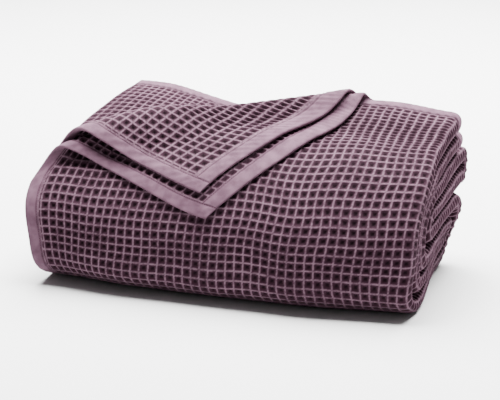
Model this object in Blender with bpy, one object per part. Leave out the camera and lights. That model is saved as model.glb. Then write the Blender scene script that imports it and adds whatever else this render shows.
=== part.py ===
"""A waffle weave cotton blanket, folded into a bundle.

The blanket is one square of waffle cloth with a tape binding sewn round its
four edges.  It is modelled the way it is made and folded: each piece is cut
out flat in sheet coordinates, creased along the fold lines, and then carried
through the folds.

Sheet coordinates: u runs across the blanket, v along it, h out of its face.
First fold: the width is folded in quarters, which gives a strip of four plies.
Second fold: the strip is folded lengthwise in eighths.
Last: the two loose corners of the top are turned back together.

World: metres, +X along the bundle, +Y to its back, +Z up, resting on Z = 0 with its
middle over the origin.  The shape is worked out from the bundle's front left corner.
"""

import bisect
import math

import bmesh
import bpy
import numpy as np

# ---- the blanket, laid out flat -------------------------------------------------

PLY_PITCH = 0.0064             # from one ply to the next in the folded strip
CLOTH_THICKNESS = 0.0040
CLOTH_THICKNESS_IN_BINDING = 0.0020
BINDING_WIDTH = 0.020
TAPE_THICKNESS = 0.0007
FOLD_BEVEL = 0.0003
FOLD_THICKNESS = 0.0014        # of the tape where it is doubled over the edge
SEWN_GAP = 0.0003
CLOTH_EDGE_INSET = 0.0025      # the cloth's cut edge stops this far inside the fold of the tape

# ---- the strip: four plies, one quarter of the width each -------------------------

BUNDLE_LENGTH = 0.576
CENTRE_FOLD_INSET = 0.018      # how far the blanket's centre fold lies inside the left end

# ---- the section: eight limbs ----------------------------------------------------

STRIP_PITCH = 4 * PLY_PITCH
# nose depth, shoulder radius, foot radius, parts in each; from the outside in
FRONT_BENDS = ((0.0116, 0.1050, 0.0480, 4), (0.0372, 0.0794, 0.0380, 4),
               (0.0628, 0.0538, 0.0230, 3), (0.1038, 0.0128, 0.0128, 2))
LOOP_RADIUS = 0.0145
FIRST_END_DEPTH = 0.274        # depth, from the front, that each fold or end reaches
SECOND_END_DEPTH = 0.290
UPPER_LOOP_DEPTH = 0.338
OUTER_FOLD_DEPTH = 0.314
INNER_FOLD_DEPTH = 0.272

# ---- the turned-back corners -------------------------------------------------------

CREASE_LEFT = 0.262            # where the crease meets the left edge, from the back end
CREASE_BACK = 0.448            # where it meets the back end, from the left edge
CORNER_SHIFT = (0.100, -0.020) # how far the corner had slipped, right and back, before it was turned
OVER_TURN = math.radians(20)   # how far past flat a corner rolls before it comes to rest
SETTLE_RADIUS = 0.040          # of the soft bend that brings it to rest
REST_LIFT = 0.0070             # height of a resting corner over the ply below it
LOWER_ROLL = ((0.00, 0.0140), (0.12, 0.0095), (0.35, 0.0075), (0.52, 0.0065))    # along, radius
UPPER_ROLL = ((0.00, 0.0275), (0.12, 0.0215), (0.35, 0.0155), (0.52, 0.0142))    # along, radius
SIDE_BOW = (0.014, 0.004)      # how far the side edge of the lower and of the upper corner bows back
END_BOW = (0.050, 0.038)       # how far their end edges bow to the right
BOW_REACH = 0.7                # share of the corner's size over which a bow dies away

# ---- how the bundle has settled ------------------------------------------------------

HEIGHT_BY_DEPTH = ((0.00, 0.95), (0.06, 0.97), (0.14, 1.04), (0.22, 1.12), (0.30, 1.17), (0.40, 1.18))
FRONT_SINK = ((0.00, -0.02), (0.08, 0.00), (0.20, 0.00), (0.60, 0.02))          # along x, change of height
LEAN_BY_HEIGHT = ((0.00, -0.016), (0.03, -0.018), (0.06, -0.009), (0.09, 0.000),
                  (0.12, 0.009), (0.15, 0.020), (0.20, 0.036))                   # height, shift to the back
# each change below fades in, or out, smoothly between the two places of its range
SINK_RANGE = (0.05, 0.25)      # in depth
LEAN_RANGE = (0.08, 0.26)      # in depth
SLIP_RANGE = (0.07, 0.26)      # along x
BACK_SLIP = 0.042              # how far the left of the top has slipped towards the back
BACK_CORNER_RISE = 0.018
RISE_RANGE = (0.05, 0.25)      # in depth
RISE_HEIGHTS = (0.04, 0.16)
END_CURL = 0.011               # how far the open end of the top curls up at the right
CURL_RANGE = (0.30, 0.44)      # along x
CURL_END_RANGE = (0.47, 0.60)  # along x
CURL_DEPTHS = (0.15, 0.28)
CURL_HEIGHTS = (0.16, 0.20)
BACK_INSET = 0.040             # how far the left end draws in towards the back
INSET_RANGE = (0.10, 0.28)     # in depth
FOOT_INSET = 0.024             # how far the bottom corners round in, at the ends and at the front
LEFT_FOOT_RANGE = (0.00, 0.16)     # along x
RIGHT_FOOT_RANGE = (0.40, 0.60)    # along x
LEFT_FOOT_HEIGHTS = (0.00, 0.14)
RIGHT_FOOT_HEIGHTS = (0.00, 0.09)
FRONT_FOOT_RANGE = (0.02, 0.25)    # in depth
LEFT_FRONT_SHARE = 0.6         # of the foot's inset, at the front of the left end
RIGHT_FOOT_DEPTHS = (0.05, 0.26)

MIDDLE = (0.2877, 0.1881)      # of the settled bundle's outline, which is brought over the origin

# ---- how finely the folds are cut -----------------------------------------------------

ACROSS_STATIONS = (0.07, 0.26, 0.50)
DEPTH_STATIONS = (0.150, 0.212)
OUTER_BEND_STEPS = 5
INNER_BEND_STEPS = 3
OUTER_FOLD_STEPS = 6
INNER_FOLD_STEPS = 4
LOOP_STEPS = 6
ROLL_STEPS = 6
SLOPE_STEPS = 3
BINDING_EDGE_STEP = 0.0015
BINDING_LINES = (BINDING_WIDTH + SEWN_GAP, BINDING_WIDTH + SEWN_GAP + BINDING_EDGE_STEP)
SPLIT_SLANT = 0.02             # a slight slant that settles which way a square face is split


def hermite(rows, value):
    """Read a smooth curve through the (position, amount) rows at each value."""
    at = np.array([row[0] for row in rows], dtype=float)
    amount = np.array([row[1] for row in rows], dtype=float)
    slope = np.gradient(amount, at)
    value = np.clip(value, at[0], at[-1])
    i = np.clip(np.searchsorted(at, value, side="right") - 1, 0, len(at) - 2)
    width = at[i + 1] - at[i]
    t = (value - at[i]) / width
    return ((2 * t**3 - 3 * t**2 + 1) * amount[i] + (t**3 - 2 * t**2 + t) * width * slope[i]
            + (3 * t**2 - 2 * t**3) * amount[i + 1] + (t**3 - t**2) * width * slope[i + 1])


def ease(value, start, end):
    """Go smoothly from 0 at start to 1 at end."""
    t = np.clip((value - start) / (end - start), 0.0, 1.0)
    return t * t * (3 - 2 * t)


def skewed(near, far, rise, fall):
    """A bump that is 1 at its highest, where near + far is 1, and 0 where either of them is."""
    top = rise / (rise + fall)
    return near**rise * far**fall / (top**rise * (1 - top)**fall)


class Path:
    """A plane curve of straight runs and arcs, read by its length.

    steps: (length, turn, parts) rows; turn is the angle in radians, positive to the
    left, and parts is the number of equal parts the step is creased into.
    """

    def __init__(self, start, heading, steps):
        self.steps = steps
        self.starts = [0.0]
        self.points = [np.array(start, dtype=float)]
        self.headings = [heading]
        for length, turn, _ in steps:
            point, angle = self._advance(self.points[-1], self.headings[-1], length, turn, length)
            self.points.append(point)
            self.headings.append(angle)
            self.starts.append(self.starts[-1] + length)
        self.length = self.starts[-1]

    @staticmethod
    def _advance(point, heading, length, turn, run):
        bend = turn / length
        angle = heading + bend * run
        if abs(turn) < 1e-9:
            move = np.stack([run * np.cos(heading), run * np.sin(heading)], axis=-1)
        else:
            move = np.stack([np.sin(angle) - np.sin(heading), np.cos(heading) - np.cos(angle)], axis=-1) / bend
        return point + move, angle

    def at(self, run):
        """Point and heading at each run along the path, straight on past its ends."""
        run = np.asarray(run, dtype=float)
        point = np.zeros(run.shape + (2,))
        heading = np.zeros(run.shape)
        last = len(self.steps) - 1
        for i, (length, turn, _) in enumerate(self.steps):
            low = -np.inf if i == 0 else self.starts[i]
            high = np.inf if i == last else self.starts[i + 1]
            here = (run >= low) & (run < high)
            where, angle = self._advance(self.points[i], self.headings[i], length, turn, run[here] - self.starts[i])
            point[here] = where
            heading[here] = angle
        return point, heading

    def offset(self, run, out):
        """Points at a distance out to the right-hand side of the path."""
        point, heading = self.at(run)
        point[..., 0] += out * np.sin(heading)
        point[..., 1] -= out * np.cos(heading)
        return point

    def crease_runs(self, stations):
        """The runs to crease at: the parts of every step, and each station on a straight one."""
        runs = []
        for i, (length, turn, parts) in enumerate(self.steps):
            runs += [self.starts[i] + length * part / parts for part in range(parts)]
            if turn == 0:
                begin, end = sorted((self.points[i][0], self.points[i + 1][0]))
                runs += [self.starts[i] + abs(place - self.points[i][0]) for place in stations if begin < place < end]
        return sorted(runs[1:])


# ---- fold 1: across the blanket ------------------------------------------------------

OUTER_PLY_LEVEL = 1.5 * PLY_PITCH
INNER_PLY_LEVEL = 0.5 * PLY_PITCH
HALF_STRIP = OUTER_PLY_LEVEL + CLOTH_THICKNESS / 2
RIGHT_BEND = BUNDLE_LENGTH - HALF_STRIP
LEFT_BEND = CENTRE_FOLD_INSET + INNER_PLY_LEVEL + CLOTH_THICKNESS / 2


def strip_path():
    """The section across the strip, in (x, level): plies B, C, D and A in the order of u."""
    inner_bend = math.pi * INNER_PLY_LEVEL
    return Path((0.0, INNER_PLY_LEVEL), 0.0, [
        (RIGHT_BEND, 0.0, 1),
        (inner_bend, -math.pi, INNER_BEND_STEPS),
        (RIGHT_BEND - LEFT_BEND, 0.0, 1),
        (inner_bend, math.pi, INNER_BEND_STEPS),
        (RIGHT_BEND - LEFT_BEND, 0.0, 1),
        (math.pi * OUTER_PLY_LEVEL, math.pi, OUTER_BEND_STEPS),
        (RIGHT_BEND, 0.0, 1),
    ])


# ---- fold 2: along the blanket ---------------------------------------------------------

LEVEL = [HALF_STRIP + i * STRIP_PITCH for i in range(8)]        # height of each limb, from the bottom up
LOOP_FLARE = math.acos((LOOP_RADIUS + STRIP_PITCH / 2) / (2 * LOOP_RADIUS))


def front(inward, going_down):
    """One front bend, counted from the outside in: a wide shoulder, a plain front and a tighter foot."""
    _, shoulder, foot, steps = FRONT_BENDS[inward]
    plain = LEVEL[7 - inward] - LEVEL[inward] - shoulder - foot
    turn = math.pi / 2 if going_down else -math.pi / 2
    bend = [(math.pi / 2 * shoulder, turn, steps), (math.pi / 2 * foot, turn, steps)]
    if plain > 0.001:
        bend.insert(1, (plain, 0.0, 1))
    return bend if going_down else bend[::-1]


def limb(inward, depth, upper):
    """One straight limb, from its front bend to a depth."""
    nose, shoulder, foot, _ = FRONT_BENDS[inward]
    return [(depth - nose - (shoulder if upper else foot), 0.0, 1)]


def section_path():
    """The section along the strip, in (y, z), from the top free end to the second free end."""
    outer_radius = (LEVEL[3] - LEVEL[0]) / 2
    inner_radius = STRIP_PITCH / 2
    outer_fold = OUTER_FOLD_DEPTH - HALF_STRIP - outer_radius
    inner_fold = INNER_FOLD_DEPTH - HALF_STRIP - inner_radius
    upper_loop = UPPER_LOOP_DEPTH - HALF_STRIP - LOOP_RADIUS - 2 * LOOP_RADIUS * math.sin(LOOP_FLARE)
    flare = [(LOOP_RADIUS * LOOP_FLARE, -LOOP_FLARE, 1)]
    loop_turn = math.pi + 2 * LOOP_FLARE
    steps = limb(0, FIRST_END_DEPTH, True) + front(0, True) + limb(0, outer_fold, False)
    steps += [(math.pi * outer_radius, math.pi, OUTER_FOLD_STEPS)]
    steps += limb(3, outer_fold, False) + front(3, False) + limb(3, upper_loop, True)
    steps += flare + [(LOOP_RADIUS * loop_turn, loop_turn, LOOP_STEPS)] + flare
    steps += limb(2, upper_loop, True) + front(2, True) + limb(2, inner_fold, False)
    steps += [(math.pi * inner_radius, -math.pi, INNER_FOLD_STEPS)]
    steps += limb(1, inner_fold, False) + front(1, False) + limb(1, SECOND_END_DEPTH, True)
    return Path((FIRST_END_DEPTH, LEVEL[7]), math.pi, steps)


STRIP = strip_path()
SECTION = section_path()
SHEET_WIDTH = STRIP.length
SHEET_LENGTH = SECTION.length
PLY_A_START = STRIP.starts[-2]
PLY_B_END = STRIP.starts[1]
CREASES_ACROSS = STRIP.crease_runs(ACROSS_STATIONS)
CREASES_ALONG = SECTION.crease_runs(DEPTH_STATIONS)


# ---- fold 3: the turned-back corners -----------------------------------------------------

CREASE_SPAN = math.hypot(CREASE_LEFT, CREASE_BACK)
CREASE_NORMAL = (CREASE_LEFT / CREASE_SPAN, CREASE_BACK / CREASE_SPAN)     # in (x, s), off the corner
CREASE_OFFSET = CREASE_LEFT * CREASE_BACK / CREASE_SPAN
CREASE_SLIP = (CORNER_SHIFT[0] * CREASE_NORMAL[1] - CORNER_SHIFT[1] * CREASE_NORMAL[0]) / CREASE_OFFSET
CREASE_GATHER = 1 - (CORNER_SHIFT[0] * CREASE_NORMAL[0] + CORNER_SHIFT[1] * CREASE_NORMAL[1]) / CREASE_OFFSET


def roll_section(beyond, radius, rest):
    """The section square to the crease: place, height and heading at a length beyond the crease.

    It rolls past flat, slopes down and settles at the rest height.
    """
    turn = math.pi + OVER_TURN
    sin_over, cos_over = math.sin(OVER_TURN), math.cos(OVER_TURN)
    roll_end = radius * turn
    slope = (radius * (1 + cos_over) - rest - SETTLE_RADIUS * (1 - cos_over)) / sin_over
    slope = np.maximum(slope, 0.001)
    slope_end = roll_end + slope
    settle_end = slope_end + SETTLE_RADIUS * OVER_TURN

    angle = np.minimum(beyond, roll_end) / radius
    place = radius * np.sin(angle)
    height = radius * (1 - np.cos(angle))
    down = np.clip(beyond - roll_end, 0, slope)
    place -= down * cos_over
    height -= down * sin_over
    bend = np.clip(beyond - slope_end, 0, SETTLE_RADIUS * OVER_TURN) / SETTLE_RADIUS
    heading = angle - bend
    place -= SETTLE_RADIUS * (sin_over - np.sin(OVER_TURN - bend))
    height -= SETTLE_RADIUS * (np.cos(OVER_TURN - bend) - cos_over)
    place -= np.maximum(beyond - settle_end, 0)
    return place, height, heading


def turn_back(x, s, level, ply_level, rolls, rest, side_bow, end_bow):
    """Turn the part of a ply that lies beyond the crease over, on to the bundle."""
    normal_x, normal_s = CREASE_NORMAL
    from_side = np.clip(x / CREASE_BACK, 0, 1)
    from_end = np.clip(s / CREASE_LEFT, 0, 1)
    to_crease = np.clip(1 - from_side - from_end, 0, 1)
    back = side_bow * skewed(from_end, to_crease, 2, 1) * (1 - ease(from_side, 0, BOW_REACH))
    right = end_bow * skewed(from_side, to_crease, 1.3, 1.5) * (1 - ease(from_end, 0, BOW_REACH))
    beyond = CREASE_OFFSET - (x * normal_x + s * normal_s)
    foot_x = x + beyond * normal_x + CREASE_SLIP * beyond * normal_s
    foot_s = s + beyond * normal_s - CREASE_SLIP * beyond * normal_x
    beyond = beyond * CREASE_GATHER
    along = foot_x * normal_s + (CREASE_LEFT - foot_s) * normal_x
    place, height, heading = roll_section(np.maximum(beyond, 0), hermite(rolls, along), rest)
    out = level - ply_level
    place = place - out * np.sin(heading)
    height = height + out * np.cos(heading)
    turned = beyond > 0
    x = np.where(turned, foot_x - place * normal_x + right, x)
    s = np.where(turned, foot_s - place * normal_s - back, s)
    level = np.where(turned, ply_level + height, level)
    return x, s, level


def settle(x, y, z):
    """Let the regular bundle sink, lean and ripple; whatever lies on Z = 0 stays there."""
    scale = hermite(HEIGHT_BY_DEPTH, y) + hermite(FRONT_SINK, x) * (1 - ease(y, *SINK_RANGE))
    left = 1 - ease(x, *SLIP_RANGE)
    slip = BACK_SLIP * left * np.clip(y / FIRST_END_DEPTH, 0, 1.2)
    rise = BACK_CORNER_RISE * left * ease(z, *RISE_HEIGHTS) * ease(y, *RISE_RANGE)
    curl = ease(x, *CURL_RANGE) * (1 - ease(x, *CURL_END_RANGE)) * ease(y, *CURL_DEPTHS) * ease(z, *CURL_HEIGHTS)
    lean = hermite(LEAN_BY_HEIGHT, z) * (1 - ease(y, *LEAN_RANGE))
    inset = BACK_INSET * np.clip(1 - x / BUNDLE_LENGTH, 0, 1)**2 * ease(y, *INSET_RANGE)
    left_foot = (1 - ease(x, *LEFT_FOOT_RANGE)) * (1 - ease(z, *LEFT_FOOT_HEIGHTS))
    right_end = ease(x, *RIGHT_FOOT_RANGE)
    right_foot = right_end * (1 - ease(z, *RIGHT_FOOT_HEIGHTS)) * ease(y, *RIGHT_FOOT_DEPTHS)
    front = 1 - ease(y, *FRONT_FOOT_RANGE)
    new_x = x + inset + FOOT_INSET * (left_foot - right_foot)
    new_y = y + lean + slip + FOOT_INSET * front * (right_end + LEFT_FRONT_SHARE * left_foot)
    new_z = z * scale + rise + END_CURL * curl
    return new_x, new_y, new_z


def fold(flat):
    """Carry sheet coordinates (u, v, h) through the folds to world coordinates."""
    u, v, h = flat[:, 0], flat[:, 1], flat[:, 2]
    across = STRIP.offset(u, h)
    x, level = across[:, 0], across[:, 1]
    s = v.copy()
    for here, *how in (
            (u > PLY_A_START, OUTER_PLY_LEVEL, LOWER_ROLL, REST_LIFT, SIDE_BOW[0], END_BOW[0]),
            (u < PLY_B_END, INNER_PLY_LEVEL, UPPER_ROLL, PLY_PITCH + 2 * REST_LIFT, SIDE_BOW[1], END_BOW[1])):
        here = here & (v < CREASE_LEFT)
        x[here], s[here], level[here] = turn_back(x[here], s[here], level[here], *how)
    section = SECTION.offset(s, level)
    x, y, z = settle(x, section[:, 0], section[:, 1])
    return np.stack([x - MIDDLE[0], y - MIDDLE[1], z], axis=1)


# ---- fold lines in the flat sheet ----------------------------------------------------------

def spread(start, end, steps):
    return [start + (end - start) * i / steps for i in range(steps + 1)]


def corner_lines(side):
    """(point, normal) of each line in the flat sheet at which a turned corner bends.

    side is 1 where x runs with u (ply B) and -1 where it runs against it (ply A).
    """
    rolls = UPPER_ROLL if side > 0 else LOWER_ROLL
    rest = PLY_PITCH + 2 * REST_LIFT if side > 0 else REST_LIFT
    radius = rolls[2][1]
    roll_length = radius * (math.pi + OVER_TURN)
    lines = []
    normal_x, normal_s = CREASE_NORMAL
    slope_end = roll_length + (2 * radius - rest) / math.sin(OVER_TURN)
    beyond = spread(0.0, roll_length, ROLL_STEPS) + spread(roll_length, slope_end, SLOPE_STEPS)[1:]
    beyond.append(slope_end + SETTLE_RADIUS * OVER_TURN)
    for distance in beyond:
        lines.append((CREASE_OFFSET - distance / CREASE_GATHER, normal_x, normal_s))
    place, _, _ = roll_section(np.array([0.2]), np.array([radius]), rest)
    used = 0.2 + float(place[0])
    lift = normal_s * (1 + CREASE_GATHER) - CREASE_SLIP * normal_x
    for s in [s for s in CREASES_ALONG if SECTION.starts[1] <= s <= SECTION.starts[3]]:
        lines.append((s - lift * CREASE_OFFSET + used * normal_s, -lift * normal_x, 1 - lift * normal_s))
    return lines


# ---- the pieces, cut out flat ------------------------------------------------------------------

def cut(bm, faces, point, normal):
    """Cut the faces along a plane, and keep both sides."""
    edges = {edge for face in faces for edge in face.edges}
    verts = {vert for face in faces for vert in face.verts}
    bmesh.ops.bisect_plane(bm, geom=list(verts) + list(edges) + list(faces), dist=1e-5,
                           plane_co=point, plane_no=normal)


def cell_between(lines, place, end):
    """The two neighbouring lines, or the sheet's edge, on either side of a place."""
    edges = [0.0] + lines + [end]
    i = bisect.bisect_right(edges, place)
    return edges[max(i - 1, 0)], edges[min(i, len(edges) - 1)]


def corner_faces(bm, side):
    """The faces in the cells, between fold lines, that a corner of the sheet may turn back over."""
    found = []
    for face in bm.faces:
        u, v, _ = face.calc_center_median()
        from_u, to_u = cell_between(CREASES_ACROSS, u, SHEET_WIDTH)
        from_v, _ = cell_between(CREASES_ALONG, v, SHEET_LENGTH)
        near_x = from_u if side > 0 else SHEET_WIDTH - to_u
        if CREASE_OFFSET - near_x * CREASE_NORMAL[0] - from_v * CREASE_NORMAL[1] > 0:
            found.append(face)
    return found


def binding_lines(size):
    """The lines along the bindings' inner edges, at both sides of a sheet of this size."""
    return [*BINDING_LINES, *(size - inset for inset in BINDING_LINES)]


def crease(bm):
    """Cut a flat piece along every line at which it bends, and along the bindings' inner edges."""
    for u in CREASES_ACROSS + binding_lines(SHEET_WIDTH):
        cut(bm, bm.faces[:], (u, 0, 0), (1, 0, 0))
    for v in CREASES_ALONG + binding_lines(SHEET_LENGTH):
        cut(bm, bm.faces[:], (0, v, 0), (0, 1, 0))
    for side in (1, -1):
        faces = corner_faces(bm, side)
        for offset, normal_x, normal_s in corner_lines(side):
            norm = normal_x**2 + normal_s**2
            x, s = offset * normal_x / norm, offset * normal_s / norm
            u = x if side > 0 else SHEET_WIDTH - x
            if faces:
                cut(bm, faces, (u, s, 0), (side * normal_x, normal_s, 0))
                faces = corner_faces(bm, side)


def split_alike(bm):
    """Make triangles of the flat faces, so that faces lying over each other get the same diagonals."""
    faces = bm.faces[:]
    middles = np.array([face.calc_center_median() for face in faces], dtype=float)
    face_up = np.cos(STRIP.at(middles[:, 0])[1]) * np.cos(SECTION.at(middles[:, 1])[1]) > 0
    groups = ((1, [face for face, up in zip(faces, face_up) if up]),
              (-1, [face for face, up in zip(faces, face_up) if not up]))
    for side, faces in groups:
        for vert in bm.verts:
            vert.co.x += side * SPLIT_SLANT * vert.co.y
        bmesh.ops.triangulate(bm, faces=faces, quad_method="BEAUTY", ngon_method="BEAUTY")
        for vert in bm.verts:
            vert.co.x -= side * SPLIT_SLANT * vert.co.y


def fold_piece(name, bm, collection, material):
    """Crease a flat piece, fold it, and make it an object."""
    crease(bm)
    split_alike(bm)
    flat = np.array([vert.co for vert in bm.verts], dtype=float)
    for vert, place in zip(bm.verts, fold(flat)):
        vert.co = place
    bmesh.ops.recalc_face_normals(bm, faces=bm.faces[:])
    if bm.calc_volume(signed=True) < 0:
        bmesh.ops.reverse_faces(bm, faces=bm.faces[:])
    mesh = bpy.data.meshes.new(name)
    bm.to_mesh(mesh)
    bm.free()
    mesh.shade_smooth()
    mesh.materials.append(material)
    piece = bpy.data.objects.new(name, mesh)
    collection.objects.link(piece)
    return piece


def flat_cloth():
    """The waffle cloth: a flat sheet, thinner where the binding holds its edges."""
    bm = bmesh.new()
    bmesh.ops.create_cube(bm, size=1)
    edge = CLOTH_EDGE_INSET
    for vert in bm.verts:
        vert.co.x = edge if vert.co.x < 0 else SHEET_WIDTH - edge
        vert.co.y = edge if vert.co.y < 0 else SHEET_LENGTH - edge
    for u in binding_lines(SHEET_WIDTH):
        cut(bm, bm.faces[:], (u, 0, 0), (1, 0, 0))
    for v in binding_lines(SHEET_LENGTH):
        cut(bm, bm.faces[:], (0, v, 0), (0, 1, 0))
    full_from = BINDING_WIDTH + SEWN_GAP + BINDING_EDGE_STEP / 2
    for vert in bm.verts:
        from_edge = min(vert.co.x, vert.co.y, SHEET_WIDTH - vert.co.x, SHEET_LENGTH - vert.co.y)
        thickness = CLOTH_THICKNESS if from_edge > full_from else CLOTH_THICKNESS_IN_BINDING
        vert.co.z = math.copysign(thickness / 2, vert.co.z)
    return bm


def flat_binding(along_length, start, end, far_side):
    """A tape folded over an edge of the cloth: a channel, run between start and end.

    It lies at u = 0 or v = 0, or at the far side of the sheet.
    """
    inner = CLOTH_THICKNESS_IN_BINDING / 2 + SEWN_GAP
    outer = inner + TAPE_THICKNESS
    channel = [(BINDING_WIDTH, outer), (FOLD_BEVEL, outer), (0.0, 0.0), (FOLD_BEVEL, -outer), (BINDING_WIDTH, -outer),
               (BINDING_WIDTH, -inner), (FOLD_THICKNESS, -inner), (FOLD_THICKNESS, inner), (BINDING_WIDTH, inner)]
    bm = bmesh.new()
    rings = []
    for run in (start, end):
        ring = []
        for inset, h in channel:
            if along_length:
                place = (SHEET_WIDTH - inset if far_side else inset, run, h)
            else:
                place = (run, SHEET_LENGTH - inset if far_side else inset, h)
            ring.append(bm.verts.new(place))
        rings.append(ring)
    count = len(channel)
    for i in range(count):
        j = (i + 1) % count
        bm.faces.new((rings[0][i], rings[0][j], rings[1][j], rings[1][i]))
    for ring in rings:
        edges = [bm.edges.get((ring[i], ring[(i + 1) % count])) for i in range(count)]
        bmesh.ops.triangle_fill(bm, edges=edges, use_beauty=True)
    return bm


# ---- materials and assembly ---------------------------------------------------------------------

def cotton(name, colour):
    material = bpy.data.materials.new(name)
    material.use_nodes = True
    shader = material.node_tree.nodes["Principled BSDF"]
    shader.inputs["Base Color"].default_value = (*colour, 1)
    shader.inputs["Roughness"].default_value = 0.9
    shader.inputs["Metallic"].default_value = 0.0
    return material


def build():
    for thing in list(bpy.data.objects):
        bpy.data.objects.remove(thing, do_unlink=True)
    collection = bpy.data.collections.new("waffle_weave_blanket")
    bpy.context.scene.collection.children.link(collection)
    waffle = cotton("mauve_waffle_cotton", (0.165, 0.085, 0.125))
    tape = cotton("mauve_binding_cotton", (0.270, 0.155, 0.215))
    butt = BINDING_WIDTH + SEWN_GAP
    fold_piece("blanket_cloth", flat_cloth(), collection, waffle)
    fold_piece("side_binding_under", flat_binding(True, 0, SHEET_LENGTH, False), collection, tape)
    fold_piece("side_binding_top", flat_binding(True, 0, SHEET_LENGTH, True), collection, tape)
    fold_piece("end_binding_top", flat_binding(False, butt, SHEET_WIDTH - butt, False), collection, tape)
    fold_piece("end_binding_inner", flat_binding(False, butt, SHEET_WIDTH - butt, True), collection, tape)


build()
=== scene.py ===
"""The look of a waffle weave cotton blanket, folded into a bundle.

Every piece is a surface worked out flat and carried through the folds of the solids.
Sheet coordinates: u runs across the blanket, v along it, h out of its face, in metres.
World: metres, +X along the bundle, +Y to its back, +Z up, resting on Z = 0.
"""

import math

import bpy
import numpy as np
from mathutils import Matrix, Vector


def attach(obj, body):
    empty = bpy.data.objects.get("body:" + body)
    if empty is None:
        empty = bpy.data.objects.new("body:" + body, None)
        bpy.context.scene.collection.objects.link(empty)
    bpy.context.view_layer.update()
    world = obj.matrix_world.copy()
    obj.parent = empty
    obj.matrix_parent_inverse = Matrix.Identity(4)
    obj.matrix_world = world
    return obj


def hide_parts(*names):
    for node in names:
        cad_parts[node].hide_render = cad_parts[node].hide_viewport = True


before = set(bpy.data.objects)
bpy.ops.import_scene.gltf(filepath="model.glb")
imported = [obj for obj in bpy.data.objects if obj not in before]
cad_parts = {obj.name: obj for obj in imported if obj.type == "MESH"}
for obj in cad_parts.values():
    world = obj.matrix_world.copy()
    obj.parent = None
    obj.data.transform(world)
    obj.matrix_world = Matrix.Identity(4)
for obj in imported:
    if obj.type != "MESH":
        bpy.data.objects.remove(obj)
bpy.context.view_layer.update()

# ---- the blanket and its folds, in the solids' own sizes ----------------------------

PLY_PITCH = 0.0064             # between neighbouring plies of the folded cloth
CLOTH_THICKNESS = 0.0040
CLOTH_THICKNESS_IN_BINDING = 0.0020
CLOTH_EDGE_INSET = 0.0025      # of the cloth's cut edge from the fold of its tape
BINDING_WIDTH = 0.020
TAPE_THICKNESS = 0.0007
SEWN_GAP = 0.0003              # between the cloth and its tape
FOLD_THICKNESS = 0.0014        # of the tape, at the fold over the edge

BUNDLE_LENGTH = 0.576
CENTRE_FOLD_INSET = 0.018      # of the fold in the middle of the width from the left end

STRIP_PITCH = 4 * PLY_PITCH
SHORTEST_RUN = 0.001           # of a straight run between two arcs
# the front bends from the outside in: depth of the nose, radius of the shoulder, radius of the foot
FRONT_BENDS = ((0.0116, 0.1050, 0.0480), (0.0372, 0.0794, 0.0380),
               (0.0628, 0.0538, 0.0230), (0.1038, 0.0128, 0.0128))
LOOP_RADIUS = 0.0145
FIRST_END_DEPTH = 0.274        # from the front of the bundle, like all depths
SECOND_END_DEPTH = 0.290
UPPER_LOOP_DEPTH = 0.338
OUTER_FOLD_DEPTH = 0.314
INNER_FOLD_DEPTH = 0.272

CREASE_LEFT = 0.262            # from the corner to where its crease meets the left edge
CREASE_BACK = 0.448            # and the back edge
CORNER_SHIFT = (0.100, -0.020) # slides the turned corner along its crease, and gathers it
OVER_TURN = math.radians(20)   # how far past flat a corner turns before it settles
SETTLE_RADIUS = 0.040
REST_LIFT = 0.0070             # of a turned ply, above the one that it rests on
UPPER_REST_LIFT = PLY_PITCH + 2 * REST_LIFT
LOWER_ROLL = ((0.00, 0.0140), (0.12, 0.0095), (0.35, 0.0075), (0.52, 0.0065))    # along, radius
UPPER_ROLL = ((0.00, 0.0275), (0.12, 0.0215), (0.35, 0.0155), (0.52, 0.0142))    # along, radius
SIDE_BOW = (0.014, 0.004)      # how far the corners' edges bow out: the outer ply's, the inner ply's
END_BOW = (0.050, 0.038)
SIDE_BOW_POWERS = (2, 1)       # of the rise and the fall of the bow
END_BOW_POWERS = (1.3, 1.5)
BOW_REACH = 0.7                # share of the other edge over which a bow dies away

# how the bundle settles: tables of (place, amount) rows, and ranges over which a change grows
HEIGHT_BY_DEPTH = ((0.00, 0.95), (0.06, 0.97), (0.14, 1.04), (0.22, 1.12), (0.30, 1.17), (0.40, 1.18))
FRONT_SINK = ((0.00, -0.02), (0.08, 0.00), (0.20, 0.00), (0.60, 0.02))
LEAN_BY_HEIGHT = ((0.00, -0.016), (0.03, -0.018), (0.06, -0.009), (0.09, 0.000),
                  (0.12, 0.009), (0.15, 0.020), (0.20, 0.036))
SINK_RANGE = (0.05, 0.25)
LEAN_RANGE = (0.08, 0.26)
SLIP_RANGE = (0.07, 0.26)
SLIP_LIMIT = 1.2               # in depths of the first end, up to which the slip grows
BACK_SLIP = 0.042
BACK_CORNER_RISE = 0.018
RISE_RANGE = (0.05, 0.25)
RISE_HEIGHTS = (0.04, 0.16)
END_CURL = 0.011
CURL_RANGE = (0.30, 0.44)
CURL_END_RANGE = (0.47, 0.60)
CURL_DEPTHS = (0.15, 0.28)
CURL_HEIGHTS = (0.16, 0.20)
BACK_INSET = 0.040
INSET_RANGE = (0.10, 0.28)
FOOT_INSET = 0.024
LEFT_FOOT_RANGE = (0.00, 0.16)
RIGHT_FOOT_RANGE = (0.40, 0.60)
LEFT_FOOT_HEIGHTS = (0.00, 0.14)
RIGHT_FOOT_HEIGHTS = (0.00, 0.09)
FRONT_FOOT_RANGE = (0.02, 0.25)
LEFT_FRONT_SHARE = 0.6
RIGHT_FOOT_DEPTHS = (0.05, 0.26)
MIDDLE = (0.2877, 0.1881)      # of the bundle, which lies over the middle of the floor

# ---- what the scene adds to them --------------------------------------------------------

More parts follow.
